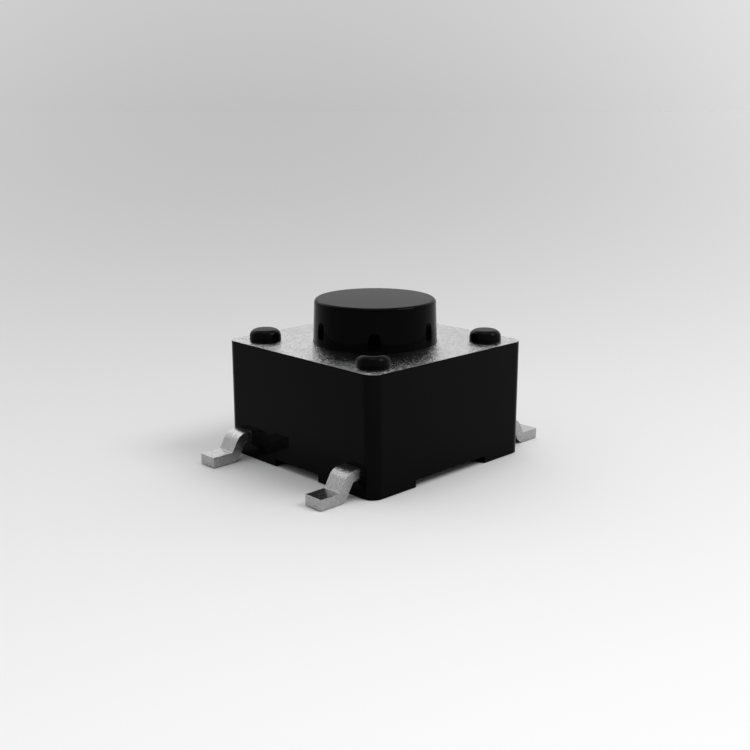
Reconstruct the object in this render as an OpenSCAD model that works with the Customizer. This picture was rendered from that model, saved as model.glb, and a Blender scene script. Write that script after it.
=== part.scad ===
// Tactile push button switch for surface mounting: four gull-wing leads, one normally open contact.
// Millimetres. The circuit board is z = 0, the button's axis is Z, the leads run out along X,
// and the two contact strips lie side by side in Y.

/* [Base] */
// Width of the square base and of the cover on it
base_w = 6; // [5.8:0.1:8]
// Height of the moulded base without its pegs
base_h = 3.1; // [2.9:0.05:5]
// Radius of the four upright edges
corner_r = 0.35; // [0.1:0.05:0.6]
// Thickness of the wall between the well and the middle of a side
wall_t = 0.7; // [0.5:0.05:1]
// Width of the step in the well, all round
step_w = 0.2; // [0.1:0.05:0.3]
// Height of the cross-shaped channel under the base
channel_h = 0.2; // [0.1:0.05:0.3]
// Width of the channel that runs along X
channel_x_w = 1.8; // [1:0.1:2.6]
// Width of the channel that runs along Y
channel_y_w = 2.8; // [1.6:0.1:3.6]
// Width of the ring-shaped shelf that carries the dome's rim
shelf_w = 0.6; // [0.4:0.05:0.9]
// Height of the shelf above the bare contacts in the middle of the well
shelf_h = 0.11; // [0.08:0.01:0.16]

/* [Pegs] */
// Distance from a peg's axis to the two sides of the base next to it
peg_inset = 0.785; // [0.6:0.005:0.85]
// Diameter of a peg where it passes through the cover
peg_d = 0.7; // [0.5:0.05:0.76]
// Diameter of the formed head
head_d = 0.9; // [0.86:0.02:1]
// Height of the head above the cover
head_h = 0.32; // [0.24:0.01:0.5]
// Radius of the head's top edge
head_edge_r = 0.18; // [0.05:0.01:0.2]

/* [Cover] */
// Thickness of the steel cover
cover_t = 0.2; // [0.15:0.05:0.3]

/* [Plunger] */
// How far the flange reaches past the stem, all round
flange_lip = 0.435; // [0.3:0.005:0.6]
// Height of the stem's top above the cover
stem_rise = 1.22; // [0.8:0.02:6]
// Lean of the stem's wall above the cover, in degrees
stem_draft = 2; // [0:0.5:3]
// Radius of the stem's top edge
stem_edge_r = 0.05; // [0.03:0.01:0.2]
// Thickness of the flange that the cover holds in
flange_t = 1; // [0.8:0.05:1.1]
// Diameter of the nub that bears on the dome
nub_d = 1.2; // [0.8:0.1:1.6]
// Bevel round the end of the nub
nub_bevel = 0.1; // [0.05:0.01:0.2]
// Width of the rim round the hollow in the plunger's underside
hollow_rim_w = 0.7; // [0.4:0.05:0.9]
// Depth of the hollow
hollow_h = 0.35; // [0.1:0.05:0.6]
// Travel of the plunger until the contact is fully closed
travel = 0.25; // [0.15:0.01:0.35]

/* [Snap dome] */
// Height of the crown's underside above the rim
dome_rise = 0.3; // [0.26:0.01:0.4]
// Thickness of the spring steel
dome_t = 0.08; // [0.05:0.01:0.1]

/* [Leads] */
// Thickness of the strip that both contacts are stamped from
lead_t = 0.3; // [0.2:0.01:0.35]
// Width of a lead
lead_w = 0.6; // [0.5:0.05:0.8]
// Distance from the middle of a strip to the side of the base that it runs along
lead_inset = 0.75; // [0.6:0.05:0.9]
// Height of the strips' underside above the board
lead_z = 0.49; // [0.42:0.01:0.6]
// Straight stretch of a lead between the base and its upper bend
root_l = 0.19; // [0.1:0.01:0.5]
// Slope of a lead between its bends, in degrees
slope_deg = 60; // [50:5:80]
// Inner radius of the upper bend
upper_bend_r = 0.1; // [0.05:0.01:0.2]
// Inner radius of the lower bend
lower_bend_r = 0.03; // [0.02:0.01:0.1]
// Flat length of a solder foot
foot_l = 0.63; // [0.4:0.01:1.2]

/* [Contacts] */
// Diameter of the centre contact's pad
pad_d = 1.2; // [0.9:0.1:1.6]
// Diameter of the coined dimple on the pad
dimple_d = 0.7; // [0.5:0.05:0.8]
// Width of the tongue that carries the pad
tongue_w = 0.8; // [0.5:0.05:1]
// Diameter of a coined bump under the dome's rim
bump_d = 0.5; // [0.3:0.05:0.5]
// Angle of each bump from the Y axis, in degrees
bump_deg = 28; // [20:1:35]
// Bare strip round a bump on its tab
bump_border = 0.05; // [0.02:0.01:0.15]

/* [Clearances] */
// Gap all round the stem in the cover's hole
stem_gap = 0.03; // [0.02:0.01:0.1]
// Gap all round the flange in the well
flange_gap = 0.1; // [0.05:0.01:0.15]
// Gap under the flange when the plunger is down
flange_drop_gap = 0.25; // [0.1:0.05:0.4]
// Gap all round the dome in the well
dome_gap = 0.1; // [0.05:0.01:0.15]
// Gap between the nub and the crown at rest
nub_gap = 0.02; // [0.01:0.01:0.05]
// Gap all round a peg in the cover
peg_gap = 0.04; // [0.02:0.01:0.05]

/* [Hidden] */
$fn = 96;

// How far a cutting shape runs past the face that it opens
over = 1;

// Heights, from the board up
strip_top = lead_z + lead_t;
shelf_z = strip_top + shelf_h;
crown_under = shelf_z + dome_rise;
nub_z = crown_under + dome_t + nub_gap;
dimple_top = crown_under - travel;
flange_z = base_h - flange_t;
step_z = flange_z - travel - flange_drop_gap;
cover_top = base_h + cover_t;

// Radii from the base's side inwards: the well's three widths, and what moves or sits in it
flange_well_r = base_w / 2 - wall_t;
dome_well_r = flange_well_r - step_w;
recess_r = dome_well_r - shelf_w;
flange_r = flange_well_r - flange_gap;
stem_r = flange_r - flange_lip;
hollow_r = flange_r - hollow_rim_w;
dome_r = dome_well_r - dome_gap;

// Distances between the axes of neighbouring pegs, and between the middles of the two strips
peg_pitch = base_w - 2 * peg_inset;
lead_pitch = base_w - 2 * lead_inset;

// The outer contact's bumps lie under the dome's rim, clear of the well's wall
bump_ring_r = dome_r + dome_gap / 2 - bump_d / 2;
bump_x = bump_ring_r * sin(bump_deg);
bump_y = bump_ring_r * cos(bump_deg);
bump_margin = bump_d / 2 + bump_border;

// Bends of a lead, in X and Z
lead_root_x = base_w / 2 + root_l;
upper_outer_r = upper_bend_r + lead_t;
lower_outer_r = lower_bend_r + lead_t;
upper_centre = [lead_root_x, strip_top - upper_outer_r];
drop_below_bends = upper_centre[1] - lower_outer_r
    + (upper_outer_r + lower_bend_r) * cos(slope_deg);
slope_l = drop_below_bends / sin(slope_deg);
lower_centre = [
    lead_root_x + (upper_outer_r + lower_bend_r) * sin(slope_deg) + slope_l * cos(slope_deg),
    lower_outer_r
];

// Part of a flat ring between two radii and two angles less than 120 degrees apart
module ring_sector(inner_r, outer_r, from_deg, to_deg) {
    reach = 2 * outer_r;
    intersection() {
        difference() {
            circle(r = outer_r);
            if (inner_r > 0) circle(r = inner_r);
        }
        polygon(concat([[0, 0]],
            [for (a = [from_deg, (from_deg + to_deg) / 2, to_deg]) reach * [cos(a), sin(a)]]));
    }
}

// Half of a round post's outline, standing on the X axis, with a leaning wall and a round top edge
module half_post(post_r, post_h, edge_r, draft = 0) {
    centre_y = post_h - edge_r;
    centre_x = post_r - centre_y * tan(draft) - edge_r / cos(draft);
    polygon([
        [0, 0],
        [post_r, 0],
        [centre_x + edge_r * cos(draft), centre_y + edge_r * sin(draft)],
        [centre_x, centre_y],
        [centre_x, post_h],
        [0, post_h]
    ]);
    translate([centre_x, centre_y]) ring_sector(0, edge_r, draft, 90);
}

// Square with round corners, about the origin
module rounded_square(width, radius) {
    inner_w = width - 2 * radius;
    square([width, inner_w], center = true);
    square([inner_w, width], center = true);
    for (x = [-1, 1], y = [-1, 1])
        translate([x, y] * inner_w / 2) circle(r = radius);
}

// Places its child, a solid or an outline, on the axis of each peg
module at_pegs() {
    for (x = [-1, 1], y = [-1, 1])
        translate([x, y, 0] * peg_pitch / 2) children();
}

// Outline of one gull-wing leg outside the base: upper bend, slope, lower bend and solder foot
module leg_profile() {
    slope_up = [sin(slope_deg), cos(slope_deg)];
    translate(upper_centre) ring_sector(upper_bend_r, upper_outer_r, 90 - slope_deg, 90);
    polygon([
        upper_centre + upper_bend_r * slope_up,
        upper_centre + upper_outer_r * slope_up,
        lower_centre - lower_bend_r * slope_up,
        lower_centre - lower_outer_r * slope_up
    ]);
    translate(lower_centre) ring_sector(lower_bend_r, lower_outer_r, 270 - slope_deg, 270);
    translate([lower_centre[0], 0]) square([foot_l, lead_t]);
}

// One straight strip with a leg at each end, its middle on y = 0
module lead_strip() {
    translate([0, lead_w / 2, 0]) rotate([90, 0, 0]) linear_extrude(lead_w) {
        translate([-lead_root_x, lead_z]) square([2 * lead_root_x, lead_t]);
        leg_profile();
        mirror([1, 0]) leg_profile();
    }
}

// Round well from the inner floor up, with a ring-shaped shelf for the dome and a step for the flange
module well() {
    translate([0, 0, strip_top]) cylinder(h = shelf_h + over, r = recess_r);
    translate([0, 0, shelf_z]) cylinder(h = base_h - shelf_z + over, r = dome_well_r);
    translate([0, 0, step_z]) cylinder(h = base_h - step_z + over, r = flange_well_r);
}

// The two channels that cross under the base and leave its four feet
module foot_channels() {
    long_cut = base_w + 2 * over;
    translate([0, 0, (channel_h - over) / 2]) {
        cube([long_cut, channel_x_w, channel_h + over], center = true);
        cube([channel_y_w, long_cut, channel_h + over], center = true);
    }
}

// Peg moulded on the base: a shank through the cover and a head formed over it
module peg() {
    translate([0, 0, base_h - cover_t]) cylinder(h = 2 * cover_t, d = peg_d);
    translate([0, 0, cover_top]) rotate_extrude() half_post(head_d / 2, head_h, head_edge_r);
}

// Moulded base, with both contacts set in it
module base() {
    color("#141414") difference() {
        union() {
            linear_extrude(base_h) rounded_square(base_w, corner_r);
            at_pegs() peg();
        }
        well();
        foot_channels();
        outer_contact();
        centre_contact();
    }
}

// Flat steel cover, held down by the pegs' heads
module cover_plate() {
    color("#c9c9c7") translate([0, 0, base_h]) linear_extrude(cover_t) difference() {
        rounded_square(base_w, corner_r);
        circle(r = stem_r + stem_gap);
        at_pegs() circle(r = peg_d / 2 + peg_gap);
    }
}

// Plunger: a stem through the cover, a flange under it, and a nub that bears on the dome
module plunger() {
    color("#181818") rotate_extrude() {
        translate([0, cover_top]) half_post(stem_r, stem_rise, stem_edge_r, stem_draft);
        polygon([
            [0, nub_z],
            [nub_d / 2 - nub_bevel, nub_z],
            [nub_d / 2, nub_z + nub_bevel],
            [nub_d / 2, flange_z + hollow_h],
            [hollow_r, flange_z + hollow_h],
            [hollow_r, flange_z],
            [flange_r, flange_z],
            [flange_r, base_h],
            [stem_r, base_h],
            [stem_r, cover_top],
            [0, cover_top]
        ]);
    }
}

// Snap dome: a thin round cap of spring steel, cut square at its rim
module snap_dome() {
    under_r = (dome_r * dome_r + dome_rise * dome_rise) / (2 * dome_rise);
    color("#d6d6d2") rotate_extrude() intersection() {
        translate([0, crown_under - under_r]) difference() {
            circle(r = under_r + dome_t);
            circle(r = under_r);
        }
        translate([0, shelf_z - dome_t]) square([dome_r, dome_rise + 2 * dome_t + over]);
    }
}

// Outer contact: a strip with two legs, and a tab with two bumps that carry the dome's rim
module outer_contact() {
    tab_y = bump_y - bump_margin;
    color("#bdbdb8") union() {
        translate([0, lead_pitch / 2, 0]) lead_strip();
        translate([-bump_x - bump_margin, tab_y, lead_z])
            cube([2 * (bump_x + bump_margin), lead_pitch / 2 - tab_y, lead_t]);
        for (side = [-1, 1])
            translate([side * bump_x, bump_y, lead_z])
                cylinder(h = lead_t + shelf_h, d = bump_d);
    }
}

// Centre contact: a strip with two legs, and a tongue to a pad whose dimple meets the pressed dome
module centre_contact() {
    dimple_h = dimple_top - strip_top;
    dimple_r = dimple_d / 2;
    ball_r = (dimple_r * dimple_r + dimple_h * dimple_h) / (2 * dimple_h);
    color("#bdbdb8") union() {
        translate([0, -lead_pitch / 2, 0]) lead_strip();
        translate([-tongue_w / 2, -lead_pitch / 2, lead_z])
            cube([tongue_w, lead_pitch / 2, lead_t]);
        translate([0, 0, lead_z]) cylinder(h = lead_t, d = pad_d);
        intersection() {
            translate([0, 0, dimple_top - ball_r]) sphere(r = ball_r);
            translate([0, 0, strip_top - lead_t / 2]) cylinder(h = dimple_h + lead_t, d = pad_d);
        }
    }
}

base();
cover_plate();
plunger();
snap_dome();
outer_contact();
centre_contact();
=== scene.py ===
"""Looks of a tactile push button switch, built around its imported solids.

Shapes are made in millimetres and scaled to metres when they become pieces.
"""

import math

import bmesh
import bpy
from mathutils import Matrix, Vector


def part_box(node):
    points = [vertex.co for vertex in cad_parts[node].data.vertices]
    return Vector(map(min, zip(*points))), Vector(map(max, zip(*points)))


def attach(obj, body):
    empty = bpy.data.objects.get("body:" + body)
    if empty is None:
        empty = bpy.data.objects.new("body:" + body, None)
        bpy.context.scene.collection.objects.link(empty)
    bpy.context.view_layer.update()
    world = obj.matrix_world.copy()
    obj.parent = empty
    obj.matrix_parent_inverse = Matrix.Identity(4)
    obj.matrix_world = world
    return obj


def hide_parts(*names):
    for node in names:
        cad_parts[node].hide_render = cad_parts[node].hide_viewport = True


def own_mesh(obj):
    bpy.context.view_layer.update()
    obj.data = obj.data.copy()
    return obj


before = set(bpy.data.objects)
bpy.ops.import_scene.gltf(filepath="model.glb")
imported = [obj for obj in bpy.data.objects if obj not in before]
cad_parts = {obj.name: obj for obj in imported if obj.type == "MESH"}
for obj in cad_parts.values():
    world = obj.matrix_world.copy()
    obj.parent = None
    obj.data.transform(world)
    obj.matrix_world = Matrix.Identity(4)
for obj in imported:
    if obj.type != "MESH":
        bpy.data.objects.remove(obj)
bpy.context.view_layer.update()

MM = 0.001

# Sizes that the solids give, in millimetres


def node_box(node):
    """Lowest and highest corner of a solid at rest, in millimetres."""
    low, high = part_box(node)
    return low / MM, high / MM


base_low, base_high = node_box("base")
cover_low, cover_high = node_box("cover_plate")
plunger_low, plunger_high = node_box("plunger")
dome_low, dome_high = node_box("snap_dome")
outer_low, outer_high = node_box("outer_contact")
centre_low, centre_high = node_box("centre_contact")

BASE_HALF = base_high.x
BASE_TOP = cover_low.z
COVER_TOP = cover_high.z
HEAD_TOP = base_high.z
NUB_Z = plunger_low.z
STEM_TOP = plunger_high.z
FLANGE_R = plunger_high.x
DOME_R = dome_high.x
SHELF_Z = dome_low.z
LEAD_END = outer_high.x
DIMPLE_TOP = centre_high.z

# Sizes that the part's source names, in millimetres

CORNER_R = 0.35
CHANNEL_H = 0.2
CHANNEL_HALF_ALONG_X = 0.9
CHANNEL_HALF_ALONG_Y = 1.4
STEP_Z = 1.6
FLANGE_WELL_R = 2.3
DOME_WELL_R = 2.1
RECESS_R = 1.5
PEG_AT = 2.215
PEG_R = 0.35
PEG_HOLE_R = 0.39
HEAD_R = 0.45
HEAD_EDGE_R = 0.21
STEM_R = 1.765
STEM_DRAFT = math.radians(2)
FLANGE_Z = 2.1
HOLLOW_R = 1.5
HOLLOW_H = 0.35
NUB_R = 0.6
NUB_BEVEL = 0.1
DOME_T = 0.08
LEAD_T = 0.3
LEAD_W = 0.6
LEAD_Z = 0.49
LEAD_AT = 2.25
LEAD_ROOT_X = 3.19
UPPER_BEND_R = 0.1
LOWER_BEND_R = 0.03
SLOPE = math.radians(60)
PAD_R = 0.6
DIMPLE_R = 0.35
TONGUE_W = 0.8
BUMP_R = 0.25
BUMP_RING_R = 1.8
BUMP_ANGLE = math.radians(28)
BUMP_BORDER = 0.05

# Roundings and a running gap that are finer here than in the solids, in millimetres

STEM_EDGE_R = 0.11
MOULD_EDGE = 0.006
SHEAR_EDGE = 0.008
COVER_EDGE = 0.004
STEM_HOLE_R = 1.775

STRIP_TOP = LEAD_Z + LEAD_T
ROUND_STEPS = 160
SMALL_ROUND_STEPS = 64
CORNER_STEPS = 16
BEND_STEPS = 12
EDGE_STEPS = 4


# Mesh helpers, in millimetres


def new_object(name, vertices, faces):
    mesh = bpy.data.meshes.new(name)
    mesh.from_pydata([tuple(v) for v in vertices], [], faces)
    mesh.update()
    obj = bpy.data.objects.new(name, mesh)
    bpy.context.scene.collection.objects.link(obj)
    return obj


def arc(centre, radius, start, end, steps):
    """Points on an arc from one angle to another, both ends included."""
    return [
        (
            centre[0] + radius * math.cos(start + (end - start) * i / steps),
            centre[1] + radius * math.sin(start + (end - start) * i / steps),
        )
        for i in range(steps + 1)
    ]


def lathe(name, outline, steps, at=(0, 0)):
    """Turns an outline of (radius, height) points about an upright axis. The outline starts and ends on the axis."""
    vertices, rings = [], []
    for radius, height in outline:
        if radius < 1e-9:
            rings.append([len(vertices)])
            vertices.append((at[0], at[1], height))
            continue
        rings.append(list(range(len(vertices), len(vertices) + steps)))
        vertices += [
            (
                at[0] + radius * math.cos(2 * math.pi * i / steps),
                at[1] + radius * math.sin(2 * math.pi * i / steps),
                height,
            )
            for i in range(steps)
        ]
    faces = []
    for lower, upper in zip(rings, rings[1:]):
        for i in range(steps):
            j = (i + 1) % steps
            corners = [
                lower[i % len(lower)],
                lower[j % len(lower)],
                upper[j % len(upper)],
                upper[i % len(upper)],
            ]
            faces.append(tuple(dict.fromkeys(corners)))
    return new_object(name, vertices, faces)


def drum(radius, bottom, top, steps, at=(0, 0)):
    """A plain cylinder, for cutting and joining."""
    outline = [(0, bottom), (radius, bottom), (radius, top), (0, top)]
    return lathe("drum", outline, steps, at)


def box(low, high):
    """A plain block between two corners, for cutting and joining."""
    x, y, z = zip(low, high)
    corners = [(x[i], y[j], z[k]) for k in (0, 1) for j in (0, 1) for i in (0, 1)]
    faces = [(0, 2, 3, 1), (4, 5, 7, 6), (0, 1, 5, 4), (2, 6, 7, 3), (0, 4, 6, 2), (1, 3, 7, 5)]
    return new_object("box", corners, faces)


def apply_modifiers(obj):
    """Replaces the object's mesh by what its modifiers make of it."""
    graph = bpy.context.evaluated_depsgraph_get()
    made = bpy.data.meshes.new_from_object(obj.evaluated_get(graph))
    obj.modifiers.clear()
    obj.data = made
    return obj


def combine(obj, tools, operation):
    """Joins or cuts the object by each tool in turn, and removes the tools."""
    for tool in tools:
        step = obj.modifiers.new("combine", "BOOLEAN")
        step.operation = operation
        step.object = tool
        step.solver = "EXACT"
        apply_modifiers(obj)
        bpy.data.objects.remove(tool)
    return obj


def square_outline(half, radius, steps):
    """Points of a square with round corners about the origin, anticlockwise."""
    points = []
    inner = half - radius
    for quarter, (x, y) in enumerate(((1, 1), (-1, 1), (-1, -1), (1, -1))):
        start = quarter * math.pi / 2
        points += arc((x * inner, y * inner), radius, start, start + math.pi / 2, steps)
    return points


def stack_outlines(name, layers):
    """Skins a closed solid over outlines of equally many points, given as (points, height) from the bottom up."""
    vertices, faces = [], []
    count = len(layers[0][0])
    for points, height in layers:
        vertices += [(x, y, height) for x, y in points]
    for level in range(len(layers) - 1):
        for i in range(count):
            j = (i + 1) % count
            low = level * count
            high = low + count
            faces.append((low + i, low + j, high + j, high + i))
    faces.append(tuple(reversed(range(count))))
    faces.append(tuple(range(len(vertices) - count, len(vertices))))
    return new_object(name, vertices, faces)


def bevel_edges(obj, wanted, width, steps):
    """Rounds the edges that a test picks. The test gets the edge's two ends and its angle."""
    bm = bmesh.new()
    bm.from_mesh(obj.data)
    picked = [
        e
        for e in bm.edges
        if len(e.link_faces) == 2 and wanted(e.verts[0].co, e.verts[1].co, e.calc_face_angle())
    ]
    bmesh.ops.bevel(
        bm,
        geom=picked,
        offset=width,
        offset_type="OFFSET",
        segments=steps,
        profile=0.5,
        affect="EDGES",
        clamp_overlap=False,
    )
    bm.to_mesh(obj.data)
    bm.free()
    return obj


def make_piece(obj, name, body, node, materials, crease=math.radians(30)):
    """Scales a finished shape to metres, shades it, and makes it a piece of the switch."""
    bm = bmesh.new()
    bm.from_mesh(obj.data)
    bmesh.ops.remove_doubles(bm, verts=bm.verts, dist=1e-5)
    bmesh.ops.dissolve_degenerate(bm, edges=bm.edges, dist=1e-5)
    bmesh.ops.recalc_face_normals(bm, faces=bm.faces)
    for face in bm.faces:
        face.smooth = True
    for edge in bm.edges:
        edge.smooth = len(edge.link_faces) == 2 and edge.calc_face_angle() < crease
    bm.to_mesh(obj.data)
    bm.free()
    weighted = obj.modifiers.new("weighted", "WEIGHTED_NORMAL")
    weighted.keep_sharp = True
    weighted.weight = 100
    apply_modifiers(obj)
    obj.data.transform(Matrix.Scale(MM, 4))
    obj.name = obj.data.name = name
    obj.data.materials.clear()
    for material in materials:
        obj.data.materials.append(material)
    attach(obj, body)
    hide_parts(node)
    return obj


# Materials


def new_material(name):
    material = bpy.data.materials.new(name)
    material.use_nodes = True
    nodes = material.node_tree.nodes
    return material, nodes, material.node_tree.links, nodes["Principled BSDF"]


def noise_node(nodes, links, scale, detail=2.0):
    """Noise in the object's own space. The scale counts features in a metre."""
    place = nodes.new("ShaderNodeTexCoord")
    noise = nodes.new("ShaderNodeTexNoise")
    noise.inputs["Scale"].default_value = scale
    noise.inputs["Detail"].default_value = detail
    links.new(place.outputs["Object"], noise.inputs["Vector"])
    return noise


def remap(nodes, links, source, low, high, start=0.0, end=1.0, smooth=False):
    """Maps a value from one range to another, on a straight line or an S-curve."""
    node = nodes.new("ShaderNodeMapRange")
    node.interpolation_type = "SMOOTHSTEP" if smooth else "LINEAR"
    node.inputs["From Min"].default_value = start
    node.inputs["From Max"].default_value = end
    node.inputs["To Min"].default_value = low
    node.inputs["To Max"].default_value = high
    links.new(source, node.inputs["Value"])
    return node.outputs["Result"]


def vector_math(nodes, links, operation, first, second=None):
    node = nodes.new("ShaderNodeVectorMath")
    node.operation = operation
    links.new(first, node.inputs[0])
    if second is not None:
        node.inputs[1].default_value = second
    return node.outputs["Value" if operation in ("DOT_PRODUCT", "LENGTH") else "Vector"]


def scalar_math(nodes, links, operation, *values):
    node = nodes.new("ShaderNodeMath")
    node.operation = operation
    for socket, value in zip(node.inputs, values):
        if isinstance(value, (int, float)):
            socket.default_value = value
        else:
            links.new(value, socket)
    return node.outputs[0]


SKIN_DEPTH_MM = 0.0001


def black_plastic(name, grey, ior, roughness):
    """Black moulded plastic, glossy, with faint flow marks in its gloss and a barely uneven skin."""
    material, nodes, links, shader = new_material(name)
    flow = noise_node(nodes, links, 900, 3)
    tone = nodes.new("ShaderNodeValToRGB")
    tone.color_ramp.elements[0].color = (grey * 0.8,) * 3 + (1,)
    tone.color_ramp.elements[1].color = (grey * 1.2,) * 3 + (1,)
    links.new(flow.outputs["Fac"], tone.inputs["Fac"])
    links.new(tone.outputs["Color"], shader.inputs["Base Color"])
    links.new(
        remap(nodes, links, flow.outputs["Fac"], roughness * 0.8, roughness * 1.2, 0.3, 0.7),
        shader.inputs["Roughness"],
    )
    shader.inputs["IOR"].default_value = ior
    skin = noise_node(nodes, links, 6000, 2)
    bump = nodes.new("ShaderNodeBump")
    bump.inputs["Strength"].default_value = 1.0
    bump.inputs["Distance"].default_value = SKIN_DEPTH_MM * MM
    links.new(skin.outputs["Fac"], bump.inputs["Height"])
    links.new(bump.outputs["Normal"], shader.inputs["Normal"])
    return material


def leaning_cells(nodes, links, cell_mm, tilt_deg):
    """Small cells, each with a colour of its own, and how far each leans from the surface."""
    place = nodes.new("ShaderNodeTexCoord").outputs["Object"]
    cells = nodes.new("ShaderNodeTexVoronoi")
    cells.inputs["Scale"].default_value = 1 / (cell_mm * MM)
    links.new(place, cells.inputs["Vector"])
    reach = math.tan(math.radians(tilt_deg))
    lean = nodes.new("ShaderNodeVectorMath")
    lean.operation = "MULTIPLY_ADD"
    links.new(cells.outputs["Color"], lean.inputs[0])
    lean.inputs[1].default_value = (2 * reach,) * 3
    lean.inputs[2].default_value = (-reach,) * 3
    return cells.outputs["Color"], lean.outputs["Vector"]


def vector_sum(nodes, links, first, second):
    node = nodes.new("ShaderNodeVectorMath")
    node.operation = "ADD"
    links.new(first, node.inputs[0])
    links.new(second, node.inputs[1])
    return node.outputs["Vector"]


GRAIN_MM = 0.021
FINE_GRAIN_MM = 0.007


def grained_metal(name, grey, roughness, tilt_deg, fine_tilt_deg, spread):
    """Satin metal. Coarse grains show, each with its own lean and tone, and fine ones blur what it mirrors."""
    material, nodes, links, shader = new_material(name)
    shader.inputs["Metallic"].default_value = 1.0
    colour, lean = leaning_cells(nodes, links, GRAIN_MM, tilt_deg)
    _, fine_lean = leaning_cells(nodes, links, FINE_GRAIN_MM, fine_tilt_deg)
    normal = nodes.new("ShaderNodeNewGeometry").outputs["Normal"]
    facing = vector_sum(nodes, links, vector_sum(nodes, links, normal, lean), fine_lean)
    links.new(vector_math(nodes, links, "NORMALIZE", facing), shader.inputs["Normal"])
    own_tone = vector_math(nodes, links, "DOT_PRODUCT", colour, (0, 0, 1))
    tone = remap(nodes, links, own_tone, grey * (1 - spread), grey * (1 + spread))
    links.new(tone, shader.inputs["Base Color"])
    cloud = noise_node(nodes, links, 1500, 3)
    links.new(
        remap(nodes, links, cloud.outputs["Fac"], roughness * 0.9, roughness * 1.1, 0.3, 0.7),
        shader.inputs["Roughness"],
    )
    return material


housing_plastic = black_plastic("housing_plastic", 0.002, 1.116, 0.015)
plunger_plastic = black_plastic("plunger_plastic", 0.0012, 1.103, 0.015)
cover_steel = grained_metal("cover_steel", 0.51, 0.18, 11, 8, 0.09)
plated_metal = grained_metal("plated_metal", 0.4, 0.28, 6, 6, 0.2)
dome_steel = grained_metal("dome_steel", 0.6, 0.28, 3, 3, 0.05)
dark_edge = black_plastic("dark_edge", 0.0015, 1.12, 0.1)


# Plunger


def build_plunger():
    """Stem with a leaning wall and a round top edge, flange, and nub, turned as one."""
    edge_z = STEM_TOP - STEM_EDGE_R
    edge_x = STEM_R - (edge_z - COVER_TOP) * math.tan(STEM_DRAFT) - STEM_EDGE_R / math.cos(STEM_DRAFT)
    outline = [
        (0, NUB_Z),
        (NUB_R - NUB_BEVEL, NUB_Z),
        (NUB_R, NUB_Z + NUB_BEVEL),
        (NUB_R, FLANGE_Z + HOLLOW_H),
        (HOLLOW_R, FLANGE_Z + HOLLOW_H),
        (HOLLOW_R, FLANGE_Z),
        (FLANGE_R, FLANGE_Z),
        (FLANGE_R, BASE_TOP),
        (STEM_R, BASE_TOP),
        (STEM_R, COVER_TOP),
    ]
    outline += arc((edge_x, edge_z), STEM_EDGE_R, STEM_DRAFT, math.pi / 2, 2 * EDGE_STEPS)
    outline += [(0, STEM_TOP)]
    shape = lathe("plunger", outline, ROUND_STEPS)
    return make_piece(shape, "plunger_moulding", "button", "plunger", [plunger_plastic])


# Contacts


def leg_stations():
    """Places along one leg, from the root to the foot's end, each as (point on the underside, direction to the top)."""
    upper = Vector((LEAD_ROOT_X, STRIP_TOP - UPPER_BEND_R - LEAD_T))
    lower_z = LOWER_BEND_R + LEAD_T
    reach = UPPER_BEND_R + LEAD_T + LOWER_BEND_R
    slope_l = (upper.y - lower_z + reach * math.cos(SLOPE)) / math.sin(SLOPE)
    lower = Vector((LEAD_ROOT_X + reach * math.sin(SLOPE) + slope_l * math.cos(SLOPE), lower_z))
    stations = []
    for i in range(BEND_STEPS + 1):
        lean = SLOPE * i / BEND_STEPS
        out = Vector((math.sin(lean), math.cos(lean)))
        stations.append((upper + out * UPPER_BEND_R, out))
    for i in range(BEND_STEPS + 1):
        lean = SLOPE * (1 - i / BEND_STEPS)
        out = Vector((math.sin(lean), math.cos(lean)))
        stations.append((lower - out * (LOWER_BEND_R + LEAD_T), out))
    up = Vector((0, 1))
    stations.append((Vector((LEAD_END - SHEAR_EDGE, 0)), up))
    return stations


def lead_strip(middle_y):
    """One strip with a gull-wing leg at each end: a rounded rectangle swept along the bends."""
    right = leg_stations()
    left = [(Vector((-p.x, p.y)), Vector((-out.x, out.y))) for p, out in right]
    stations = list(reversed(left)) + right
    section = []
    for across, through, turn in ((1, 0, -1), (1, 1, 0), (-1, 1, 1), (-1, 0, 2)):
        corner = (
            across * (LEAD_W / 2 - SHEAR_EDGE),
            SHEAR_EDGE if through == 0 else LEAD_T - SHEAR_EDGE,
        )
        start = turn * math.pi / 2
        section += arc(corner, SHEAR_EDGE, start, start + math.pi / 2, EDGE_STEPS // 2)
    count = len(section)
    vertices, faces = [], []

    def add_ring(point, out, along=0.0, shrink=0.0):
        for across, through in section:
            across *= 1 - shrink / (LEAD_W / 2)
            through += shrink * (1 - 2 * through / LEAD_T)
            place = point + out * through
            vertices.append((place.x + along, middle_y + across, place.y))

    first, last = stations[0], stations[-1]
    add_ring(*first, along=-SHEAR_EDGE, shrink=SHEAR_EDGE)
    for point, out in stations:
        add_ring(point, out)
    add_ring(*last, along=SHEAR_EDGE, shrink=SHEAR_EDGE)
    rings = len(vertices) // count
    for ring in range(rings - 1):
        for i in range(count):
            j = (i + 1) % count
            low = ring * count
            high = low + count
            faces.append((low + i, low + j, high + j, high + i))
    faces.append(tuple(reversed(range(count))))
    faces.append(tuple(range(len(vertices) - count, len(vertices))))
    return new_object("strip", vertices, faces)


def outer_tab():
    """The tab with two bumps inside the base, in simple blocks."""
    bump_x = BUMP_RING_R * math.sin(BUMP_ANGLE)
    bump_y = BUMP_RING_R * math.cos(BUMP_ANGLE)
    margin = BUMP_R + BUMP_BORDER
    tab = box(
        (-bump_x - margin, bump_y - margin, LEAD_Z),
        (bump_x + margin, LEAD_AT, STRIP_TOP),
    )
    bumps = [drum(BUMP_R, LEAD_Z, SHELF_Z, SMALL_ROUND_STEPS, (side * bump_x, bump_y)) for side in (-1, 1)]
    return [tab] + bumps


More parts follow.
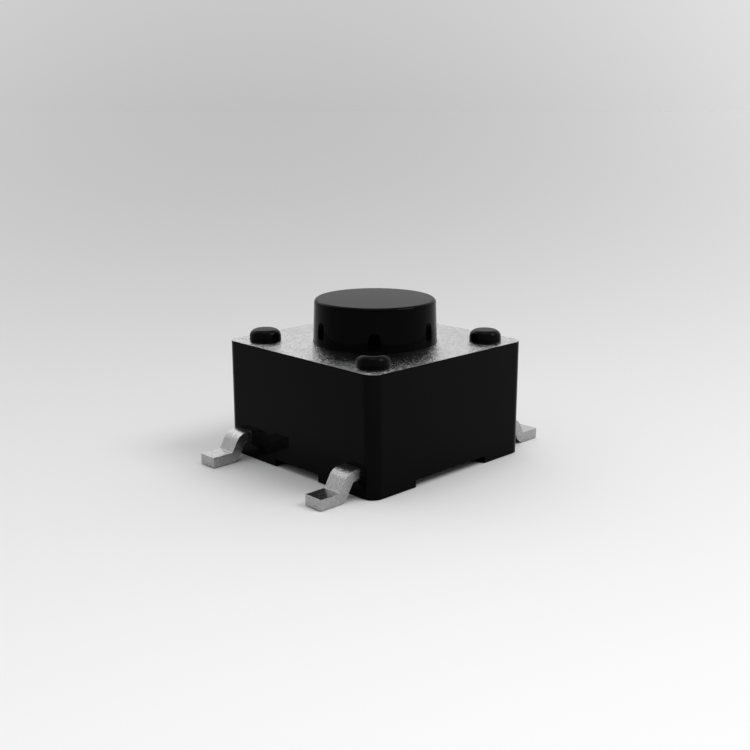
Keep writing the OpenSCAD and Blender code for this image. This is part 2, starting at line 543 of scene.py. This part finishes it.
def centre_tongue():
    """The tongue, the pad and its dimple inside the base."""
    dimple_h = DIMPLE_TOP - STRIP_TOP
    ball_r = (DIMPLE_R**2 + dimple_h**2) / (2 * dimple_h)
    ball_z = DIMPLE_TOP - ball_r
    rise = math.asin((STRIP_TOP - ball_z) / ball_r)
    tongue = box((-TONGUE_W / 2, -LEAD_AT, LEAD_Z), (TONGUE_W / 2, 0, STRIP_TOP))
    outline = [(0, LEAD_Z), (PAD_R, LEAD_Z), (PAD_R, STRIP_TOP)]
    outline += arc((0, ball_z), ball_r, rise, math.pi / 2, 2 * EDGE_STEPS)[:-1]
    outline += [(0, DIMPLE_TOP)]
    return [tongue, lathe("pad", outline, SMALL_ROUND_STEPS)]


def build_contacts():
    outer = combine(lead_strip(LEAD_AT), outer_tab(), "UNION")
    centre = combine(lead_strip(-LEAD_AT), centre_tongue(), "UNION")
    make_piece(outer, "outer_contact_strip", "housing", "outer_contact", [plated_metal])
    make_piece(centre, "centre_contact_strip", "housing", "centre_contact", [plated_metal])


# Snap dome


def build_dome():
    """Thin sprung cap, built at rest. On the real switch it flattens as the plunger goes down."""
    rise = dome_high.z - DOME_T - SHELF_Z
    under_r = (DOME_R**2 + rise**2) / (2 * rise)
    middle_z = SHELF_Z + rise - under_r
    rings = 16
    over_rim = math.acos(DOME_R / (under_r + DOME_T))
    under_rim = math.acos(DOME_R / under_r)
    outline = list(reversed(arc((0, middle_z), under_r, under_rim, math.pi / 2, rings)))
    outline += arc((0, middle_z), under_r + DOME_T, over_rim, math.pi / 2, rings)
    outline[0] = (0, outline[0][1])
    outline[-1] = (0, outline[-1][1])
    shape = lathe("dome", outline, ROUND_STEPS)
    piece = make_piece(shape, "dome_shell", "housing", "snap_dome", [dome_steel])
    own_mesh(piece)


# Base


def peg(x, y):
    """A peg through the cover, with its formed head."""
    root = BASE_TOP - 0.2
    edge_z = HEAD_TOP - HEAD_EDGE_R
    edge_x = HEAD_R - HEAD_EDGE_R
    outline = [(0, root), (PEG_R, root), (PEG_R, COVER_TOP), (HEAD_R, COVER_TOP)]
    outline += arc((edge_x, edge_z), HEAD_EDGE_R, 0, math.pi / 2, 3 * EDGE_STEPS)
    outline += [(0, HEAD_TOP)]
    return lathe("peg", outline, SMALL_ROUND_STEPS, (x, y))


def build_base():
    """Moulded box with a well, a cross-shaped channel underneath, slots for the contacts, and pegs."""
    past = 1.0
    square = square_outline(BASE_HALF, CORNER_R, CORNER_STEPS)
    body = stack_outlines("base", [(square, 0), (square, BASE_TOP)])
    far = BASE_HALF + past
    channels = [
        box((-far, -CHANNEL_HALF_ALONG_X, -past), (far, CHANNEL_HALF_ALONG_X, CHANNEL_H)),
        box((-CHANNEL_HALF_ALONG_Y, -far, -past), (CHANNEL_HALF_ALONG_Y, far, CHANNEL_H)),
    ]
    combine(body, channels, "DIFFERENCE")
    sharp = math.radians(40)
    bevel_edges(
        body,
        lambda a, b, angle: angle > sharp and max(a.z, b.z) < BASE_TOP / 2,
        MOULD_EDGE,
        2,
    )
    well = lathe(
        "well",
        [
            (0, STRIP_TOP),
            (RECESS_R, STRIP_TOP),
            (RECESS_R, SHELF_Z),
            (DOME_WELL_R, SHELF_Z),
            (DOME_WELL_R, STEP_Z),
            (FLANGE_WELL_R, STEP_Z),
            (FLANGE_WELL_R, BASE_TOP + past),
            (0, BASE_TOP + past),
        ],
        ROUND_STEPS,
    )
    slots = [
        box((-far, side * LEAD_AT - LEAD_W / 2, LEAD_Z), (far, side * LEAD_AT + LEAD_W / 2, STRIP_TOP))
        for side in (-1, 1)
    ]
    combine(body, [well] + slots + outer_tab() + centre_tongue(), "DIFFERENCE")
    pegs = [peg(x * PEG_AT, y * PEG_AT) for x in (-1, 1) for y in (-1, 1)]
    combine(body, pegs, "UNION")
    return make_piece(body, "base_moulding", "housing", "base", [housing_plastic])


# Cover


def build_cover():
    """Flat steel plate with its top edge broken, and dark sheared sides."""
    def layer(grow, height):
        return square_outline(BASE_HALF + grow, CORNER_R + grow, CORNER_STEPS), height

    plate = stack_outlines(
        "cover",
        [
            layer(0, BASE_TOP),
            layer(0, COVER_TOP - COVER_EDGE),
            layer(-COVER_EDGE * 0.3, COVER_TOP - COVER_EDGE * 0.3),
            layer(-COVER_EDGE, COVER_TOP),
        ],
    )
    past = 0.5
    holes = [drum(STEM_HOLE_R, BASE_TOP - past, COVER_TOP + past, ROUND_STEPS)]
    for x in (-1, 1):
        for y in (-1, 1):
            at = (x * PEG_AT, y * PEG_AT)
            holes.append(drum(PEG_HOLE_R, BASE_TOP - past, COVER_TOP + past, SMALL_ROUND_STEPS, at))
    combine(plate, holes, "DIFFERENCE")
    piece = make_piece(plate, "cover_sheet", "housing", "cover_plate", [cover_steel, dark_edge])
    for face in piece.data.polygons:
        outside = max(abs(face.center.x), abs(face.center.y)) > (BASE_HALF - CORNER_R) * MM
        if abs(face.normal.z) < 0.5 and outside:
            face.material_index = 1
    return piece


build_plunger()
build_contacts()
build_dome()
build_base()
build_cover()

# Camera, solved from the photograph: the image is 750 by 750 pixels

PHOTO_SIDE_PX = 750
FOCAL_PX = 1045.1
SENSOR_MM = 36
VIEW_AZIMUTH = math.radians(-44.165)
VIEW_DOWN = math.radians(14.265)
CAMERA_AT = Vector((-20.317, -20.915, 9.676))


def build_camera():
    forward = Vector(
        (
            -math.sin(VIEW_AZIMUTH) * math.cos(VIEW_DOWN),
            math.cos(VIEW_AZIMUTH) * math.cos(VIEW_DOWN),
            -math.sin(VIEW_DOWN),
        )
    )
    data = bpy.data.cameras.new("photo_camera")
    data.sensor_width = SENSOR_MM
    data.lens = FOCAL_PX * SENSOR_MM / PHOTO_SIDE_PX
    data.clip_start = 1 * MM
    data.clip_end = 10
    camera = bpy.data.objects.new("photo_camera", data)
    bpy.context.scene.collection.objects.link(camera)
    camera.location = CAMERA_AT * MM
    camera.rotation_euler = forward.to_track_quat("-Z", "Y").to_euler()
    bpy.context.scene.camera = camera
    return camera


build_camera()

# Stage: a pale floor whose colour holds painted light, a pool of light before the switch and light that grows to the
# sides, under a studio sky that is lighter to one side

FLOOR_HALF_MM = 4000
FLOOR_DROP_MM = 0.015
# Tones of the floor's colour and of the sky: on the floor they are painted light, on the sky its own light
FAR_TONE = 0.536
SIDE_TONE = 0.142
SIDES_RISE = 0.957
SIDES_RISE_FROM = -0.035
SIDES_RISE_ENDS = 0.45
# How fast the floor's painted side light grows with distance
PAINTED_SIDE_LIGHT_FADE_MM = 49.3
# Painted pool of light in the floor's colour, lightest before the switch
PAINTED_LIGHT_POOL_TONE = 0.458
PAINTED_LIGHT_POOL_FADE_MM = 27.3
PAINTED_LIGHT_POOL_AT_MM = Vector((-13.1, -19.1, 0))
SKY_LIFT = 0.571
SKY_LIFT_ENDS = math.sin(math.radians(7))
SKY_GLOW = 1.35
SKY_GLOW_LEAN = 1.2
SKY_GLOW_FOCUS = 1.45
SKY_GLOW_FROM = math.sin(math.radians(12))
SKY_GLOW_TO = math.sin(math.radians(25))
AMBIENT = 0.63
AMBIENT_FROM = -0.9
AMBIENT_FULL = -0.3
AMBIENT_BEHIND = 0.44
LIGHTER_SIDE = Vector((math.cos(VIEW_AZIMUTH), math.sin(VIEW_AZIMUTH), 0))
AWAY = Vector((-math.sin(VIEW_AZIMUTH), math.cos(VIEW_AZIMUTH), 0))


def side_tone(nodes, links, vector, fade):
    """Brightness of a far place or a direction: it grows to both sides, and more towards the lighter one. On the floor
    it is painted light in the colour; for a direction it is the sky's own light.
    """
    aside = vector_math(nodes, links, "DOT_PRODUCT", vector, LIGHTER_SIDE)
    reach = vector_math(nodes, links, "LENGTH", vector)
    reach = scalar_math(nodes, links, "ADD", reach, fade)
    share = scalar_math(nodes, links, "DIVIDE", aside, reach)
    even = scalar_math(nodes, links, "MULTIPLY_ADD", share, SIDE_TONE, FAR_TONE)
    off_middle = scalar_math(nodes, links, "SUBTRACT", share, SIDES_RISE_FROM)
    off_middle = scalar_math(nodes, links, "ABSOLUTE", off_middle)
    off_middle = scalar_math(nodes, links, "MINIMUM", off_middle, SIDES_RISE_ENDS)
    rise = scalar_math(nodes, links, "MULTIPLY", off_middle, off_middle)
    return scalar_math(nodes, links, "MULTIPLY_ADD", rise, SIDES_RISE, even)


def build_floor():
    half = FLOOR_HALF_MM * MM
    drop = -FLOOR_DROP_MM * MM
    floor = new_object(
        "floor",
        [(-half, -half, drop), (half, -half, drop), (half, half, drop), (-half, half, drop)],
        [(0, 1, 2, 3)],
    )
    material, nodes, links, shader = new_material("floor")
    place = nodes.new("ShaderNodeTexCoord").outputs["Object"]
    # The floor's colour is painted light: a pool of light before the switch, added to the side tone
    from_painted_light_pool = vector_math(nodes, links, "SUBTRACT", place, PAINTED_LIGHT_POOL_AT_MM * MM)
    distance = vector_math(nodes, links, "LENGTH", from_painted_light_pool)
    fades = scalar_math(nodes, links, "DIVIDE", distance, PAINTED_LIGHT_POOL_FADE_MM * MM)
    fades = scalar_math(nodes, links, "MULTIPLY_ADD", fades, fades, 1)
    painted_light_pool = scalar_math(nodes, links, "DIVIDE", PAINTED_LIGHT_POOL_TONE, fades)
    # Painted side light in the floor's colour, growing to both sides and more towards the lighter one
    far = side_tone(nodes, links, place, PAINTED_SIDE_LIGHT_FADE_MM * MM)
    links.new(scalar_math(nodes, links, "ADD", painted_light_pool, far), shader.inputs["Base Color"])
    shader.inputs["Roughness"].default_value = 1.0
    shader.inputs["Specular IOR Level"].default_value = 0.0
    floor.data.materials.append(material)


def sky_tone(nodes, links):
    """What cameras and mirrors see of the studio: grey near the floor, lighter above and behind."""
    direction = nodes.new("ShaderNodeTexCoord").outputs["Generated"]
    side = side_tone(nodes, links, direction, 0)
    height = vector_math(nodes, links, "DOT_PRODUCT", direction, (0, 0, 1))
    low = scalar_math(nodes, links, "MINIMUM", height, SKY_LIFT_ENDS)
    lifted = scalar_math(nodes, links, "MULTIPLY_ADD", low, SKY_LIFT, side)
    glow = remap(nodes, links, height, 0, SKY_GLOW, SKY_GLOW_FROM, SKY_GLOW_TO, smooth=True)
    behind = vector_math(nodes, links, "DOT_PRODUCT", direction, AWAY)
    behind = scalar_math(nodes, links, "MAXIMUM", behind, 0)
    behind = scalar_math(nodes, links, "POWER", behind, SKY_GLOW_FOCUS)
    lean = vector_math(nodes, links, "DOT_PRODUCT", direction, LIGHTER_SIDE * -SKY_GLOW_LEAN)
    behind = scalar_math(nodes, links, "MULTIPLY_ADD", behind, lean, behind)
    return scalar_math(nodes, links, "MULTIPLY_ADD", glow, behind, lifted)


def ambient_tone(nodes, links):
    """What lights the switch besides the lamps: soft light from all round but the camera's side, and more from behind."""
    direction = nodes.new("ShaderNodeTexCoord").outputs["Generated"]
    away = vector_math(nodes, links, "DOT_PRODUCT", direction, AWAY)
    even = remap(nodes, links, away, 0, AMBIENT, AMBIENT_FROM, AMBIENT_FULL, smooth=True)
    behind = scalar_math(nodes, links, "MAXIMUM", away, 0)
    return scalar_math(nodes, links, "MULTIPLY_ADD", behind, AMBIENT_BEHIND, even)


def build_sky():
    """The soft light. Cameras and mirrors see the studio's own tones instead."""
    world = bpy.data.worlds.new("sky")
    bpy.context.scene.world = world
    world.use_nodes = True
    nodes, links = world.node_tree.nodes, world.node_tree.links
    nodes.clear()
    seen = nodes.new("ShaderNodeBackground")
    links.new(sky_tone(nodes, links), seen.inputs["Color"])
    light = nodes.new("ShaderNodeBackground")
    links.new(ambient_tone(nodes, links), light.inputs["Color"])
    path = nodes.new("ShaderNodeLightPath")
    direct = scalar_math(nodes, links, "MAXIMUM", path.outputs["Is Camera Ray"], path.outputs["Is Glossy Ray"])
    direct = scalar_math(nodes, links, "MAXIMUM", direct, path.outputs["Is Transmission Ray"])
    mix = nodes.new("ShaderNodeMixShader")
    links.new(direct, mix.inputs[0])
    links.new(light.outputs[0], mix.inputs[1])
    links.new(seen.outputs[0], mix.inputs[2])
    out = nodes.new("ShaderNodeOutputWorld")
    links.new(mix.outputs[0], out.inputs["Surface"])


def soft_lamp(name, azimuth_deg, elevation_deg, share, width_deg):
    """A wide, distant lamp. Azimuth 0 is the studio's lighter side, 90 is behind. The share is its part of the light."""
    azimuth, elevation = math.radians(azimuth_deg), math.radians(elevation_deg)
    level = LIGHTER_SIDE * math.cos(azimuth) + AWAY * math.sin(azimuth)
    to_lamp = level * math.cos(elevation) + Vector((0, 0, math.sin(elevation)))
    data = bpy.data.lights.new(name, "SUN")
    data.energy = share * math.pi / to_lamp.z
    data.angle = math.radians(width_deg)
    lamp = bpy.data.objects.new(name, data)
    bpy.context.scene.collection.objects.link(lamp)
    lamp.rotation_euler = to_lamp.to_track_quat("Z", "Y").to_euler()


def build_lamps():
    soft_lamp("key_lamp", -9, 50, 0.225, 28)
    soft_lamp("top_lamp", 240, 89, 0.156, 36)


build_floor()
build_sky()
build_lamps()

bpy.context.scene.view_settings.view_transform = "Standard"
